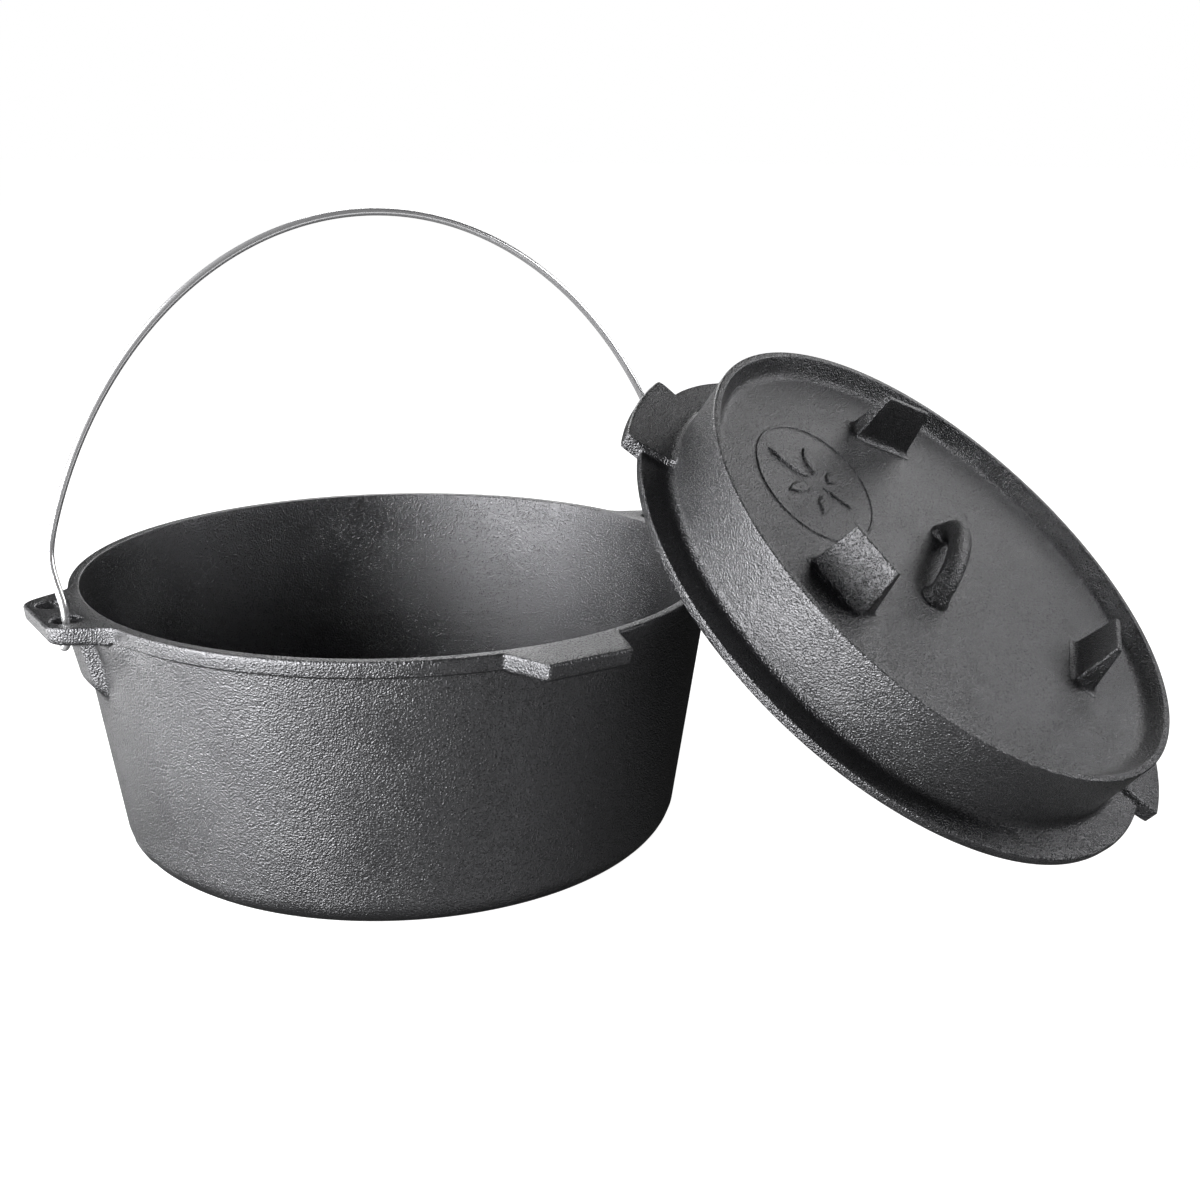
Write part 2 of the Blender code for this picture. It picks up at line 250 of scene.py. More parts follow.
def rim_reach(angle):
    """The rim's outer radius: the round rim, the two ears on X and the grip tab on -Y."""
    edge = np.full_like(angle, RIM)
    for centre in (0, math.pi):
        away = np.abs(around(angle, centre))
        ear = np.where(away < BRACKET_WINDOW, bracket_reach(away, EAR_TIP, EAR_ROOT, EAR_CORNER), 0)
        edge = soft_max(edge, ear, EAR_BLEND)
    away = np.abs(around(angle, 3 * math.pi / 2))
    tab = np.where(away < BRACKET_WINDOW, bracket_reach(away, TAB_TIP, TAB_ROOT, TAB_CORNER), 0)
    return soft_max(edge, tab, TAB_BLEND)


# %% Metal added to the wall under the ears
def ear_swell(across, below):
    """How far the wall stands out under an ear, from the sideways place and the depth below it.

    A gusset 22 mm wide with soft sides, whose face falls in slowly and then steps back to the wall,
    and a wide shallow swell that carries the ear into the band on both sides.
    """
    face = np.interp(below, [0, 0.0255, 0.0340, 0.2], [0.0076, 0.0058, 0.0, 0.0])
    tail = 0.0022 * np.exp(-(below / 0.034) ** 4)
    width = 0.0085 + 0.03 * np.clip(below, 0, 0.05)
    gusset = face * (1 - smooth_step(across, 0.0090, 0.0155))
    spread = tail * (1 - smooth_step(across, width, width + 0.012))
    swell = 0.0026 * (1 - smooth_step(across, 0.030, 0.052)) * np.exp(-(below / 0.011) ** 2)
    return soft_max(np.maximum(gusset, spread), swell, 0.0012)


# %% The pot's surface
def pot_grid(columns):
    """Points (columns, rows, 3) of the pot, from the inside floor over the rim to the base."""
    crowded = [(0, 0.30, 3.6), (2 * math.pi, 0.30, 3.6), (math.pi, 0.30, 3.6),
               (3 * math.pi / 2, 0.24, 2.8)]
    angle = column_angles(columns, crowded)
    edge = rim_reach(angle)
    proud = smooth_step(edge, RIM + 0.0004, RIM + 0.004)
    thick = BAND + (SLAB - BAND) * proud
    across = np.abs(np.sin(angle)) * WALL_TOP
    beside = np.where(np.abs(np.cos(angle)) > 0.5, across, 1.0)
    under = HEIGHT - thick - 0.0006
    wall_top = WALL_FOOT + DRAFT * under + ear_swell(beside, 0 * beside)
    wall_top = np.minimum(wall_top, edge - 0.0006)
    ones = np.ones_like(angle)
    inside_foot = WALL_FOOT - WALL + DRAFT * BASE
    corners = np.stack([
        np.stack([0 * ones, BASE * ones], 1),
        np.stack([inside_foot * ones, BASE * ones], 1),
        np.stack([MOUTH * ones, HEIGHT * ones], 1),
        np.stack([edge, HEIGHT * ones], 1),
        np.stack([edge - 0.0008, HEIGHT - thick], 1),
        np.stack([wall_top, under], 1),
        np.stack([WALL_FOOT * ones, 0 * ones], 1),
        np.stack([0 * ones, 0 * ones], 1),
    ], 1)
    ledge = edge - wall_top
    radii = np.stack([
        0 * ones, 0.012 * ones, 0.0007 * ones, (0.0011 + 0.0003 * proud) * ones,
        np.minimum(0.0028, ledge * 0.30), np.minimum(0.0035, ledge * 0.40), 0.012 * ones, 0 * ones,
    ], 1)
    arc_steps, run_steps = [8, 3, 4, 4, 5, 10], [8, 22, 4, 3, 4, 46, 8]
    section = rounded(corners, radii, arc_steps, run_steps)
    radius, height = section[..., 0].copy(), section[..., 1].copy()
    # The outer wall is run 5: its rows are drawn closer together near the ears.
    wall_start = sum(arc_steps[:5]) + sum(run_steps[:5])
    wall_end = wall_start + run_steps[5]
    rows = slice(wall_start, wall_end + 1)
    share = np.linspace(0, 1, run_steps[5] + 1) ** 1.45
    top = section[:, wall_start, None]
    foot = section[:, wall_end, None]
    straight = top * (1 - share[None, :, None]) + foot * share[None, :, None]
    radius[:, rows] = straight[..., 0]
    height[:, rows] = straight[..., 1]
    below = np.maximum(under[:, None] - height[:, rows], 0)
    plain = WALL_FOOT + DRAFT * height[:, rows]
    swollen = plain + ear_swell(beside[:, None] + 0 * below, below)
    from_top = smooth_step(below, 0.0, 0.004)
    radius[:, rows] = np.where(below > 0, swollen * from_top + radius[:, rows] * (1 - from_top),
                               radius[:, rows])
    return np.stack([radius * np.cos(angle)[:, None], radius * np.sin(angle)[:, None], height], 2)


pot = piece("pot_casting", closed_skin("pot_casting", pot_grid(640)))
print("pot", len(pot.data.polygons), "faces")


# %% [markdown]
# The bail's holes are cored straight through each ear and open out a little at both mouths. The
# cutter is a turned shape: a straight middle and two mouths that flare as a quarter circle, which
# leaves the hole with rounded edges.


# %% Cut the four holes
def hole_cutter(x, y):
    """A turned cutter about a vertical line: radius plus a quarter-circle flare at each mouth."""
    flare = 0.0010
    turn = np.linspace(0, math.pi / 2, 7)
    low, high = HEIGHT - SLAB - 0.0006, HEIGHT
    up = np.stack([HOLE_RADIUS + flare * (1 - np.cos(turn)), high - flare * (1 - np.sin(turn))], 1)
    down = np.stack([HOLE_RADIUS + flare * (1 - np.cos(turn)), low + flare * (1 - np.sin(turn))], 1)
    top = np.array([[0, high + 0.003], [HOLE_RADIUS + flare, high + 0.003]])
    bottom = np.array([[HOLE_RADIUS + flare, low - 0.0002], [0, low - 0.0002]])
    section = np.concatenate([top, up[::-1], down, bottom])
    angle = np.linspace(0, 2 * math.pi, 48, endpoint=False)[:, None]
    grid = np.stack([x + section[None, :, 0] * np.cos(angle), y + section[None, :, 0] * np.sin(angle),
                     section[None, :, 1] + 0 * angle], 2)
    return piece("hole", closed_skin("hole", grid))


cutters = []
for side in (-1, 1):
    for end in (-1, 1):
        cutters.append(hole_cutter(side * HOLE_X, end * HOLE_Y))
cast_together(pot, "DIFFERENCE", cutters)

# %% [markdown]
# ## The lid
# The lid is a flange, a raised coal ring and a sunk tray, so that coals stay on it. The same lid
# turned over stands on its three legs. The work is done in the lid's own frame, with its underside
# at zero height, and the finished mesh is then put where the lid leans.

# %% Lid dimensions in metres, in its own frame
LID_EDGE_RADIUS = 0.1582
FLANGE = 0.0050
EDGE_DRAFT = 0.0006
RING_FOOT, RING_TOP_RADIUS = 0.1400, 0.1417
RING_HEIGHT = 0.0433
RING_INSIDE, TRAY_RADIUS = 0.1380, 0.1320
TRAY, PLATE = 0.0335, 0.0050
TRAY_SINK = 0.0010  # how far the tray's middle lies below its edge
PAN_RADIUS, PAN_DRAFT = 0.1365, 0.0030
COLLAR_RADIUS, COLLAR, COLLAR_DRAFT = 0.1490, 0.0045, 0.0010
LID_REACH, LID_SPAN = 0.1680, math.radians(11.5)
LID_TAB = 0.0080
LEG_TOP = 0.0598
LEG_FILLET, LEG_EDGE = 0.0030, 0.0008
LEG_INNER, LEG_OUTER, LEG_HALF = (0.0885, 0.0922), (0.0997, 0.0952), (0.0178, 0.0146)  # foot, top
LOOP_BAR, LOOP_FOOT = 0.0056, 0.0020  # the bar's radius, and what its feet add
LOOP_SPAN, LOOP_RISE = 0.032, 0.0162
LOOP_SIDE, LOOP_SHIFT = -0.0023, 0.0026  # the loop stands a little off the centre
LID_CENTRE = Vector((0.2211, -0.1221, 0.1024))
LID_PLACE = (Matrix.Translation(LID_CENTRE)
             @ Matrix.Rotation(math.radians(-67.4), 4, "Z")
             @ Matrix.Rotation(math.radians(38.4), 4, "Y")
             @ Matrix.Rotation(math.pi / 2 + math.radians(113.6), 4, "Z"))
print("lid", 2 * LID_EDGE_RADIUS, "m across, its middle at", [round(v, 4) for v in LID_CENTRE])


# %% The lid's surface
def lid_grid(columns):
    """Points (columns, rows, 3) of the lid, from the tray over the ring and flange to the pan."""
    crowded = [(0, 0.26, 3.2), (2 * math.pi, 0.26, 3.2), (math.pi, 0.26, 3.2)]
    angle = column_angles(columns, crowded)
    away = np.minimum(np.abs(around(angle, 0)), np.abs(around(angle, math.pi)))
    slope = math.radians(1.6) / (LID_REACH - 0.1522)
    side = LID_REACH - (away - LID_SPAN) / slope
    tab = soft_min(np.full_like(away, LID_REACH), side, 0.0022)
    edge = soft_max(np.full_like(away, LID_EDGE_RADIUS), np.maximum(tab, 0), 0.0016)
    raised = 1 - smooth_step(away, LID_SPAN + math.radians(0.25), LID_SPAN + math.radians(1.35))
    top = FLANGE + (LID_TAB - FLANGE) * raised
    ones = np.ones_like(angle)
    ceiling = TRAY - PLATE
    corners = np.stack([
        np.stack([0 * ones, (TRAY - TRAY_SINK) * ones], 1),
        np.stack([TRAY_RADIUS * ones, TRAY * ones], 1),
        np.stack([RING_INSIDE * ones, RING_HEIGHT * ones], 1),
        np.stack([RING_TOP_RADIUS * ones, RING_HEIGHT * ones], 1),
        np.stack([RING_FOOT * ones, top], 1),
        np.stack([edge, top], 1),
        np.stack([edge - EDGE_DRAFT, 0 * ones], 1),
        np.stack([COLLAR_RADIUS * ones, 0 * ones], 1),
        np.stack([(COLLAR_RADIUS - COLLAR_DRAFT) * ones, -COLLAR * ones], 1),
        np.stack([PAN_RADIUS * ones, -COLLAR * ones], 1),
        np.stack([(PAN_RADIUS - PAN_DRAFT) * ones, ceiling * ones], 1),
        np.stack([0 * ones, (ceiling - TRAY_SINK) * ones], 1),
    ], 1)
    radii = np.array([0, 0.0060, 0.0008, 0.0009, 0.0045, 0.0010, 0.0007, 0.0005, 0.0009, 0.0014,
                      0.0080, 0]) * np.ones((columns, 1))
    section = rounded(corners, radii, [8, 4, 4, 8, 4, 3, 3, 3, 4, 8],
                      [26, 5, 3, 14, 6, 3, 4, 3, 6, 12, 10])
    radius, height = section[..., 0], section[..., 1]
    return np.stack([radius * np.cos(angle)[:, None], radius * np.sin(angle)[:, None], height], 2)


lid = piece("lid_casting", closed_skin("lid_casting", lid_grid(600)))
print("lid", len(lid.data.polygons), "faces")

# %% [markdown]
# Each leg is a wedge with an upright inner face and a raked outer one, rounded by the sand and
# flared into the tray at its foot. It is a stack of rounded rectangles: going up, the rectangle
# first shrinks along a quarter circle, the fillet, then tapers, and at the top it shrinks again
# along the edge's round. The columns go round the rectangle.


# %% A leg
def leg_grid(turn):
    """Points (columns, rows, 3) of one leg, its foot sunk into the tray, turned about the axis."""
    top = LEG_TOP - TRAY
    arc_up = np.linspace(0, math.pi / 2, 8)
    height = np.concatenate([[-0.0028], LEG_FILLET * (1 - np.cos(arc_up)),
                             np.linspace(LEG_FILLET, top - LEG_EDGE, 12)[1:],
                             top - LEG_EDGE + LEG_EDGE * np.sin(arc_up[1:])])
    grown = np.concatenate([[LEG_FILLET], LEG_FILLET * (1 - np.sin(arc_up)), np.zeros(11),
                            -LEG_EDGE * (1 - np.cos(arc_up[1:]))])
    rise = np.clip(height / top, -0.1, 1)
    inner = LEG_INNER[0] + (LEG_INNER[1] - LEG_INNER[0]) * rise - grown
    outer = LEG_OUTER[0] + (LEG_OUTER[1] - LEG_OUTER[0]) * rise + grown
    half = LEG_HALF[0] + (LEG_HALF[1] - LEG_HALF[0]) * rise + grown
    flat = np.zeros_like(inner)
    middle = (inner + outer) / 2
    corners = np.stack([
        np.stack([outer, flat], 1), np.stack([outer, half], 1), np.stack([inner, half], 1),
        np.stack([inner, -half], 1), np.stack([outer, -half], 1), np.stack([outer, flat], 1),
    ], 1)
    radius = np.minimum(0.0011 + grown * 0.8, (outer - inner) * 0.45)[:, None]
    radius = np.maximum(radius, 0.0003) * np.array([0, 1, 1, 1, 1, 0])
    ring = rounded(corners, radius, [5, 5, 5, 5], [10, 5, 20, 5, 10])[:, :-1]
    points = np.concatenate([ring, (TRAY + height)[:, None, None] + 0 * ring[..., :1]], 2)
    base = np.stack([middle[:1], flat[:1], TRAY + height[:1]], 1)[:, None] + 0 * points[:1]
    cap = np.stack([middle[-1:], flat[-1:], TRAY + height[-1:]], 1)[:, None] + 0 * points[-1:]
    points = np.concatenate([base, points, cap], 0).transpose(1, 0, 2)
    spin = np.array(Matrix.Rotation(turn, 3, "Z"))
    return points @ spin.T


legs = []
for number in range(3):
    turn = math.pi + number * 2 * math.pi / 3
    legs.append(piece("leg", closed_skin("leg", leg_grid(turn))))
cast_together(lid, "UNION", legs)

# %% [markdown]
# The carrying loop is half an ellipse of round bar, with feet that swell into the tray. A bar is a
# circle carried along a path. The circle's plane is spanned by a sideways direction made square to
# the path, and the one square to both. For a path in one plane, the direction across that plane
# serves the whole way, so the bar never twists.


# %% A bar along a path
def tube_grid(path, radius, sideways, sides):
    """Points (columns, rows, 3): circles of the given radii about a path."""
    along = np.gradient(path, axis=0)
    along /= np.linalg.norm(along, axis=1, keepdims=True)
    sideways = np.broadcast_to(np.asarray(sideways, float), along.shape)
    sideways = sideways - along * (sideways * along).sum(1, keepdims=True)
    sideways /= np.linalg.norm(sideways, axis=1, keepdims=True)
    normal = np.cross(along, sideways)
    angle = np.linspace(0, 2 * math.pi, sides, endpoint=False)[:, None, None]
    return path[None] + radius[None, :, None] * (np.cos(angle) * sideways + np.sin(angle) * normal)


def loop_path(steps):
    """Half an ellipse standing on the tray, with a short straight root at both ends."""
    swing = np.linspace(0, math.pi, steps)
    arch = np.stack([0 * swing + LOOP_SIDE, LOOP_SHIFT + LOOP_SPAN * np.cos(swing),
                     TRAY - TRAY_SINK + LOOP_RISE * np.sin(swing)], 1)
    root = np.array([0, 0, -0.003])
    return np.concatenate([[arch[0] + root], arch, [arch[-1] + root]])


path = loop_path(61)
foot = np.exp(-np.clip((path[:, 2] - TRAY) / 0.0022, 0, None) ** 1.3)
bar = tube_grid(path, LOOP_BAR + LOOP_FOOT * foot, (1, 0, 0), 32)
first, last = np.broadcast_to(path[0], bar[:, :1].shape), np.broadcast_to(path[-1], bar[:, :1].shape)
cast_together(lid, "UNION", [piece("loop", closed_skin("loop", np.concatenate([first, bar, last], 1)))])

# %% [markdown]
# A foundry casts a mark into the tray. Here it is a plain raised oval line with a sprig of five
# leaves inside, in low relief. The line is half a round bar sunk in the tray, and a leaf is a lens
# seen from above: its half width goes to nothing at both ends, and its back is a millimetre high.

# %% The cast mark
MARK_CENTRE = np.array([0.0745, 0.0075])
MARK_HALF = (0.0350, 0.0450)
LINE_RADIUS, LINE_SINK = 0.0009, 0.0003
LEAF_RISE, LEAF_SWELL, LEAF_SINK = 0.0011, 1.2, 0.00023


def tray_height(flat):
    """The tray's surface above the lid's underside: it sinks evenly from its edge to its middle."""
    return TRAY - TRAY_SINK * (1 - np.linalg.norm(flat, axis=-1) / TRAY_RADIUS)


def oval_grid():
    """A low round line along an ellipse on the tray, closed on itself."""
    turn = np.linspace(0, 2 * math.pi, 160, endpoint=False)
    middle = np.stack([MARK_CENTRE[0] + MARK_HALF[0] * np.cos(turn),
                       MARK_CENTRE[1] + MARK_HALF[1] * np.sin(turn)], 1)
    along = np.stack([-MARK_HALF[0] * np.sin(turn), MARK_HALF[1] * np.cos(turn)], 1)
    along /= np.linalg.norm(along, axis=1, keepdims=True)
    out = np.stack([along[:, 1], -along[:, 0]], 1)
    ring = np.linspace(0, 2 * math.pi, 12, endpoint=False)
    width, rise = LINE_RADIUS * np.cos(ring), LINE_RADIUS * np.sin(ring)
    flat = middle[:, None] + out[:, None] * width[None, :, None]
    height = tray_height(flat) - LINE_SINK + rise[None, :]
    return np.concatenate([flat, height[..., None]], 2)


def leaf_grid(root, heading, length, width):
    """A lens-shaped leaf with a flat back: steep sides, and a height that drops at both tips.

    The leaf sinks a little into the tray, so that no edge of it lies exactly on the tray's surface.
    """
    share = np.linspace(0, 1, 17)
    half = width * np.sin(math.pi * share ** 0.8)
    ring = np.linspace(0, 2 * math.pi, 20, endpoint=False)[:, None]
    forward = np.array([math.cos(heading), math.sin(heading)])
    left = np.array([-forward[1], forward[0]])
    spine = np.asarray(root) + forward * (length * share)[:, None]
    flat = spine[None] + left * (half * np.cos(ring))[..., None]
    rise = np.sign(np.sin(ring)) * (1 - np.abs(np.cos(ring)) ** 5) * np.minimum(LEAF_RISE, half)
    height = tray_height(flat) - LEAF_SINK + LEAF_SWELL * rise
    return np.concatenate([flat, height[..., None]], 2)


def ring_skin(name, grid):
    """A closed skin from a grid that wraps round both ways, such as a line joined to itself."""
    rows, columns = grid.shape[:2]
    index = np.arange(rows * columns).reshape(rows, columns)
    after, beside = np.roll(index, -1, 0), np.roll(index, -1, 1)
    both = np.roll(after, -1, 1)
    squares = np.stack([index, after, both, beside], 2).reshape(-1, 4)
    mesh = bpy.data.meshes.new(name)
    mesh.from_pydata(grid.reshape(-1, 3), [], squares)
    corner = grid.reshape(-1, 3)[squares]
    volume = np.einsum("ij,ij->i", corner[:, 0], np.cross(corner[:, 1], corner[:, 2])).sum()
    if volume < 0:
        mesh.flip_normals()
    return mesh


mark = [piece("oval", ring_skin("oval", oval_grid()))]
# Each row: root ahead of and beside the oval's middle, heading, length, half width.
sprig = [(0.004, 0.0, 0.0, 0.026, 0.0046), (0.002, 0.006, 1.05, 0.021, 0.0040),
         (0.002, -0.006, -1.05, 0.021, 0.0040), (-0.006, 0.007, 1.75, 0.018, 0.0036),
         (-0.006, -0.007, -1.75, 0.018, 0.0036), (-0.024, 0.0, 0.0, 0.022, 0.0015)]
for forward, side, heading, length, width in sprig:
    root = MARK_CENTRE + np.array([forward, side])
    mark.append(piece("leaf", closed_skin("leaf", leaf_grid(root, heading, length, width))))
cast_together(lid, "UNION", mark)
lid.data.transform(LID_PLACE)

# %% [markdown]
# ## The bail
# One length of bright drawn wire, bent to an arch, with a U at each end that goes down through one
# hole of the ear, under the bridge and up into the other. The path is an ellipse between two short
# easing curves and the two hooks. Above the ears each point is averaged with its neighbours under a
# bell weight, because a wire bent over a former has no sudden change of bend.

# %% Bail dimensions in metres, about its hinge line
WIRE = 0.00175
HINGE = HEIGHT - SLAB / 2
ARCH_HALF, ARCH_RISE, ARCH_CENTRE = 0.1752, 0.2052, -0.0331
ARCH_START, BAIL_SET = 0.034, -0.003
HOOK_RADIUS, HOOK_DROP, HOOK_TIP = 0.0105, 0.0015, 0.0010
HOOK_LEG_TOP = 0.0055
BAIL_LEAN = math.radians(-6.7)
WIRE_POINTS, BELL_POINTS = 1100, 61


# %% The wire's path
def arch_point(angle):
    """A point of the ellipse that the arch follows."""
    return np.stack([ARCH_HALF * np.cos(angle), BAIL_SET + 0 * angle,
                     ARCH_CENTRE + ARCH_RISE * np.sin(angle)], -1)


def wire_path():
    """Centre line from the left hook over the arch to the right hook, evenly spaced."""
    start = math.asin((ARCH_START - ARCH_CENTRE) / ARCH_RISE)
    begin = arch_point(np.float64(start))
    rising = arch_point(np.float64(start + 0.01)) - begin
    rising /= np.linalg.norm(rising)
    leg = np.array([HOLE_X, -HOOK_RADIUS, HOOK_LEG_TOP])
    reach = np.linalg.norm(begin - leg) * 0.45
    turn = np.linspace(0, -math.pi, 400)
    bend = np.stack([HOLE_X + 0 * turn, HOOK_RADIUS * np.cos(turn),
                     -HOOK_DROP + HOOK_RADIUS * np.sin(turn)], 1)
    tip = np.array([[HOLE_X, HOOK_RADIUS, HOOK_TIP]])
    t = np.linspace(0, 1, 400)[:, None]
    low, high = leg + np.array([0, 0, reach]), begin - rising * reach
    ease = leg * (1 - t) ** 3 + low * 3 * t * (1 - t) ** 2 + high * 3 * t ** 2 * (1 - t) + begin * t ** 3
    hook = np.concatenate([tip, bend, ease])
    angles = np.linspace(math.pi - start, start, 4001)[1:-1]
    whole = np.concatenate([hook * [-1, 1, 1], arch_point(angles), hook[::-1]])
    length = np.concatenate([[0], np.cumsum(np.linalg.norm(np.diff(whole, axis=0), axis=1))])
    even = np.linspace(0, length[-1], WIRE_POINTS)
    smooth = np.stack([np.interp(even, length, whole[:, axis]) for axis in range(3)], 1)
    bell = np.hanning(BELL_POINTS + 2)[1:-1] / np.hanning(BELL_POINTS + 2).sum()
    padded = np.pad(smooth, ((BELL_POINTS // 2, BELL_POINTS // 2), (0, 0)), "edge")
    soft = np.stack([np.convolve(column, bell, "valid") for column in padded.T], 1)
    upper = smooth_step(smooth[:, 2:], 0.004, 0.018)
    print("wire length", round(float(length[-1]), 4), "m")
    return smooth * (1 - upper) + soft * upper


# %% [markdown]
# The hook's plane is square to the arch's plane, so one fixed sideways direction does not serve the
# whole wire. It goes along Y over the arch and leans towards X in the hooks, so it is never parallel
# to the wire, and the bar function makes it square. The wire's radius falls to nothing over a round
# end.


# %% The wire
def wire_grid(path, sides):
    """Circles about a path in space, their radius falling to nothing over a round end."""
    lean = 3 * np.sign(path[:, 0]) * smooth_step(-path[:, 2], -0.02, 0.0)
    sideways = np.array([0.0, 1.0, 0.0]) + lean[:, None] * np.array([1.0, 0.0, 0.0])
    travel = np.concatenate([[0], np.cumsum(np.linalg.norm(np.diff(path, axis=0), axis=1))])
    from_end = np.minimum(travel, travel[-1] - travel)
    radius = WIRE * np.sqrt(1 - np.clip(1 - from_end / WIRE, 0, 1) ** 2)
    return tube_grid(path, radius, sideways, sides)


bail = piece("bail_wire", closed_skin("bail_wire", wire_grid(wire_path(), 24)))
bail.data.transform(Matrix.Translation((0, 0, HINGE)) @ Matrix.Rotation(BAIL_LEAN, 4, "X"))
print("bail", len(bail.data.polygons), "faces")

# %% [markdown]
# ## Put the pieces on their bodies
# Each visible casting stands for its measured solid and rides on that solid's body, so that the
# joints move it.

# %% Ride and replace
for made, node, body, slot in ((pot, "pot", "pot", "pot_iron"), (lid, "lid", "lid", "lid_iron"),
                               (bail, "bail", "bail", "bail_steel")):
    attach(made, body)
    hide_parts(node)

# %% [markdown]
# ## Cast iron skin
# Sand leaves a pebbled skin with grains of about a millimetre, and seasoning oil bakes onto it as a
# satin film that is glossier on the grains' tops. The group below makes that skin from the object's
# coordinates: a fine noise and a cell pattern for the grains, and a slow noise that makes some
# patches smoother and the oil thinner or thicker.


# %% Small node helpers
def calculate(tree, operation, *values):
    """A maths node; each value is a number or a socket. Returns its output."""
    made = tree.nodes.new("ShaderNodeMath")
    made.operation = operation
    for socket, value in zip(made.inputs, values):
        if isinstance(value, (int, float)):
            socket.default_value = value
        else:
            tree.links.new(value, socket)
    return made.outputs[0]


def remap(tree, value, to_low, to_high, from_low=0.0, from_high=1.0):
    """The value taken from one range to another, and held at its ends."""
    made = tree.nodes.new("ShaderNodeMapRange")
    for name, number in (("From Min", from_low), ("From Max", from_high),
                         ("To Min", to_low), ("To Max", to_high)):
        made.inputs[name].default_value = number
    tree.links.new(value, made.inputs["Value"])
    return made.outputs["Result"]


def blend(tree, factor, dark, light):
    """A colour between dark and light."""
    made = tree.nodes.new("ShaderNodeMix")
    made.data_type = "RGBA"
    made.inputs["A"].default_value = (*dark, 1)
    made.inputs["B"].default_value = (*light, 1)
    tree.links.new(factor, made.inputs["Factor"])
    return made.outputs["Result"]


def noise(tree, place, scale, detail, roughness=0.5):
    """A noise texture's value at a place; scale is a number or a socket."""
    made = tree.nodes.new("ShaderNodeTexNoise")
    made.inputs["Detail"].default_value = detail
    made.inputs["Roughness"].default_value = roughness
    tree.links.new(place, made.inputs["Vector"])
    if isinstance(scale, (int, float)):
        made.inputs["Scale"].default_value = scale
    else:
        tree.links.new(scale, made.inputs["Scale"])
    return made.outputs["Fac"]


# %% The skin as a node group
def cast_skin_group():
    """Shader group with Height, Gloss and Tint that vary over a casting."""
    group = bpy.data.node_groups.new("cast_skin", "ShaderNodeTree")
    for name, value in (("Grain Size", 0.0012), ("Patch Size", 0.03)):
        socket = group.interface.new_socket(name, in_out="INPUT", socket_type="NodeSocketFloat")
        socket.default_value = value
    group.interface.new_socket("Position", in_out="INPUT", socket_type="NodeSocketVector")
    for name in ("Height", "Gloss", "Tint"):
        group.interface.new_socket(name, in_out="OUTPUT", socket_type="NodeSocketFloat")
    link = group.links.new
    given = group.nodes.new("NodeGroupInput").outputs
    result = group.nodes.new("NodeGroupOutput").inputs
    scale = calculate(group, "DIVIDE", 1.0, given["Grain Size"])
    grain = noise(group, given["Position"], scale, 2.0, 0.55)
    cells = group.nodes.new("ShaderNodeTexVoronoi")
    cells.feature = "SMOOTH_F1"
    cells.inputs["Smoothness"].default_value = 0.6
    link(given["Position"], cells.inputs["Vector"])
    link(scale, cells.inputs["Scale"])
    pebbles = calculate(group, "MULTIPLY_ADD", cells.outputs["Distance"], -0.7, grain)
    patch_scale = calculate(group, "DIVIDE", 1.0, given["Patch Size"])
    patch = noise(group, given["Position"], patch_scale, 3.0)
    strength = remap(group, patch, 0.75, 1.15, 0.3, 0.7)
    link(calculate(group, "MULTIPLY", pebbles, strength), result["Height"])
    link(remap(group, pebbles, 0.0, 1.0, 0.1, 0.6), result["Gloss"])
    link(patch, result["Tint"])
    return group


CAST_SKIN = cast_skin_group()
print("group", CAST_SKIN.name, len(CAST_SKIN.nodes), "nodes")


# %% A cast iron material
def new_material(name, metallic):
    """A material with its tree, its shader and the object's coordinates."""
    made = bpy.data.materials.new(name)
    made.use_nodes = True
    tree = made.node_tree
    shader = tree.nodes["Principled BSDF"]
    shader.inputs["Metallic"].default_value = metallic
    return made, tree, shader, tree.nodes.new("ShaderNodeTexCoord").outputs["Object"]


def cast_iron(name, dark, light, rough, smooth, depth, grain_size):
    """Satin seasoned iron: colour, roughness and bump all follow the cast skin."""
    made, tree, shader, place = new_material(name, 0.9)
    link = tree.links.new
    skin = tree.nodes.new("ShaderNodeGroup")
    skin.node_tree = CAST_SKIN
    skin.inputs["Grain Size"].default_value = grain_size
    link(place, skin.inputs["Position"])
    link(blend(tree, skin.outputs["Tint"], dark, light), shader.inputs["Base Color"])
    link(remap(tree, skin.outputs["Gloss"], rough, smooth), shader.inputs["Roughness"])
    bump = tree.nodes.new("ShaderNodeBump")
    bump.inputs["Strength"].default_value = 1.0
    bump.inputs["Distance"].default_value = depth
    link(skin.outputs["Height"], bump.inputs["Height"])
    link(bump.outputs["Normal"], shader.inputs["Normal"])
    return made


def coat(made, material):
    """Give a piece one material and no other."""
    made.data.materials.clear()
    made.data.materials.append(material)
    print(made.name, "is", material.name)


coat(pot, cast_iron("seasoned_iron_pot", dark=(0.058, 0.058, 0.061), light=(0.077, 0.077, 0.080),
                    rough=0.32, smooth=0.22, depth=0.00042, grain_size=0.00082))
coat(lid, cast_iron("seasoned_iron_lid", dark=(0.060, 0.060, 0.063), light=(0.085, 0.085, 0.088),
                    rough=0.31, smooth=0.21, depth=0.00058, grain_size=0.00085))

# %% [markdown]
# ## Drawn wire
# Wire drawn through a die comes out smooth, so its highlight is a long bright streak. A fine noise
# makes its tone and its shine vary a little from patch to patch.


# %% The wire's material
def drawn_wire(name):
    """Bright steel whose tone and roughness vary a little in small patches."""
    made, tree, shader, place = new_material(name, 0.78)
    scuff = noise(tree, place, 400.0, 4.0)
    tree.links.new(remap(tree, scuff, 0.20, 0.24), shader.inputs["Roughness"])
    tree.links.new(blend(tree, scuff, (0.52, 0.52, 0.53), (0.58, 0.58, 0.59)),
                   shader.inputs["Base Color"])
    return made


coat(bail, drawn_wire("drawn_steel_wire"))

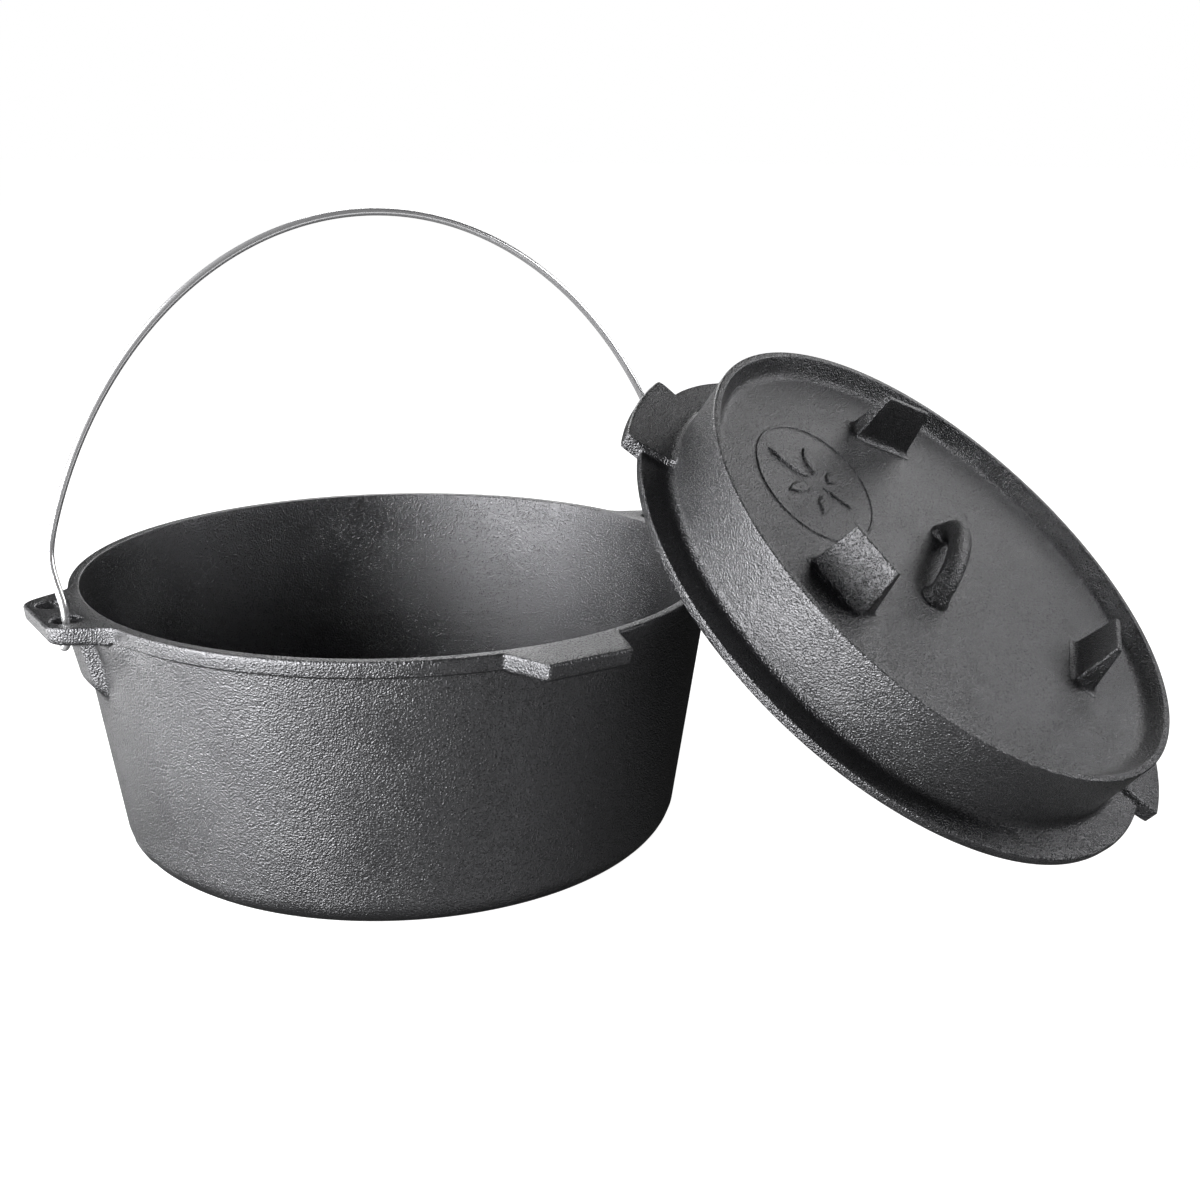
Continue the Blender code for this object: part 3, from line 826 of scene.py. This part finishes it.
# %% [markdown]
# ## Camera, floor and light
# The camera looks down at about 17 degrees, from the front left. The soft boxes stand on a dome
# round the oven. The key is four of them side by side, to the left of the camera: two above the
# table's level and two below it, the way a large panel lights a table's edge. Weaker ones fill
# the back and the right, and the room itself is nearly dark, which gives black iron its shape.

# %% Camera
CAMERA_PLACE = (-0.3133, -0.6510, 0.3223)
camera_data = bpy.data.cameras.new("view")
camera_data.sensor_width = 36.0
camera_data.lens = 44.75
camera_data.clip_start = 0.02
camera = bpy.data.objects.new("view", camera_data)
bpy.context.scene.collection.objects.link(camera)
bpy.context.scene.camera = camera
HEADING, PITCH, ROLL = math.radians(56.35), math.radians(16.567), math.radians(0.52)
forward = Vector((math.cos(HEADING) * math.cos(PITCH), math.sin(HEADING) * math.cos(PITCH),
                  -math.sin(PITCH)))
level = Vector((math.sin(HEADING), -math.cos(HEADING), 0))
upright = level.cross(forward)
right = level * math.cos(ROLL) + upright * math.sin(ROLL)
up = right.cross(forward)
camera.matrix_world = Matrix.Translation(CAMERA_PLACE) @ Matrix(
    (right, up, -forward)).transposed().to_4x4()
print("lens", camera_data.lens, "mm")

# %% Floor
FLOOR_HALF = 60
floor_mesh = bpy.data.meshes.new("floor")
floor_mesh.from_pydata([(-FLOOR_HALF, -FLOOR_HALF, 0), (FLOOR_HALF, -FLOOR_HALF, 0),
                        (FLOOR_HALF, FLOOR_HALF, 0), (-FLOOR_HALF, FLOOR_HALF, 0)], [], [(0, 1, 2, 3)])
floor = piece("floor", floor_mesh)
paper = bpy.data.materials.new("floor_paper")
paper.use_nodes = True
paper_shader = paper.node_tree.nodes["Principled BSDF"].inputs
paper_shader["Base Color"].default_value = (0.3, 0.3, 0.3, 1)
paper_shader["Roughness"].default_value = 0.9
paper_shader["Specular IOR Level"].default_value = 0.0
paper_shader["Emission Color"].default_value = (1, 1, 1, 1)
paper_shader["Emission Strength"].default_value = 1.0
floor_mesh.materials.append(paper)
floor.visible_glossy = False
floor.visible_diffuse = False
floor.visible_shadow = False

# %% Lights
DOME_RADIUS = 1.3
DOME_MIDDLE = Vector((0.10, -0.06, 0.08))
BOX_WIDTH, BOX_HEIGHT = 0.55, 0.5


def softbox(name, bearing, lift, power):
    """A rectangular area light on the dome, facing its middle.

    bearing is the angle to the left of the camera and lift the angle above the level, in degrees.
    """
    turn, rise = math.radians(bearing), math.radians(lift)
    onward = Vector((math.cos(HEADING), math.sin(HEADING), 0))
    outward = level * -math.sin(turn) * math.cos(rise) - onward * math.cos(turn) * math.cos(rise)
    place = DOME_MIDDLE + (outward + Vector((0, 0, math.sin(rise)))) * DOME_RADIUS
    data = bpy.data.lights.new(name, "AREA")
    data.shape = "RECTANGLE"
    data.size, data.size_y, data.energy = BOX_WIDTH, BOX_HEIGHT, power
    light = bpy.data.objects.new(name, data)
    bpy.context.scene.collection.objects.link(light)
    facing = (DOME_MIDDLE - place).to_track_quat("-Z", "Y").to_matrix().to_4x4()
    light.matrix_world = Matrix.Translation(place) @ facing
    return light


boxes = [softbox(*row) for row in (
    ("key_near", 40, 12, 31.0), ("key_far", 65, 12, 19.4),
    ("key_low_near", 30, -12, 8.1), ("key_low_far", 55, -12, 14.7),
    ("left_low", 105, -12, 6.2), ("left_high", 85, 38, 14.0),
    ("back", 170, 25, 4.7), ("back_right", -140, 25, 2.5), ("right_high", -95, 25, 9.9),
    ("table_bounce", -30, -40, 2.8), ("right_low", -60, -12, 1.2),
    ("table_bounce_right", -110, -42, 0.3), ("high_near", 55, 45, 3.9))]
print(len(boxes), "soft boxes,", round(sum(box.data.energy for box in boxes), 1), "W")

# %% [markdown]
# The room is white for the camera, which gives the plain background, and nearly dark for every
# other ray, so that only the soft boxes light the iron.

# %% Room
world = bpy.data.worlds.new("room")
bpy.context.scene.world = world
world.use_nodes = True
sky = world.node_tree.nodes["Background"]
sky.inputs["Color"].default_value = (1, 1, 1, 1)
ray = world.node_tree.nodes.new("ShaderNodeLightPath").outputs["Is Camera Ray"]
world.node_tree.links.new(remap(world.node_tree, ray, 0.02, 1.0), sky.inputs["Strength"])
bpy.context.scene.view_settings.view_transform = "Standard"
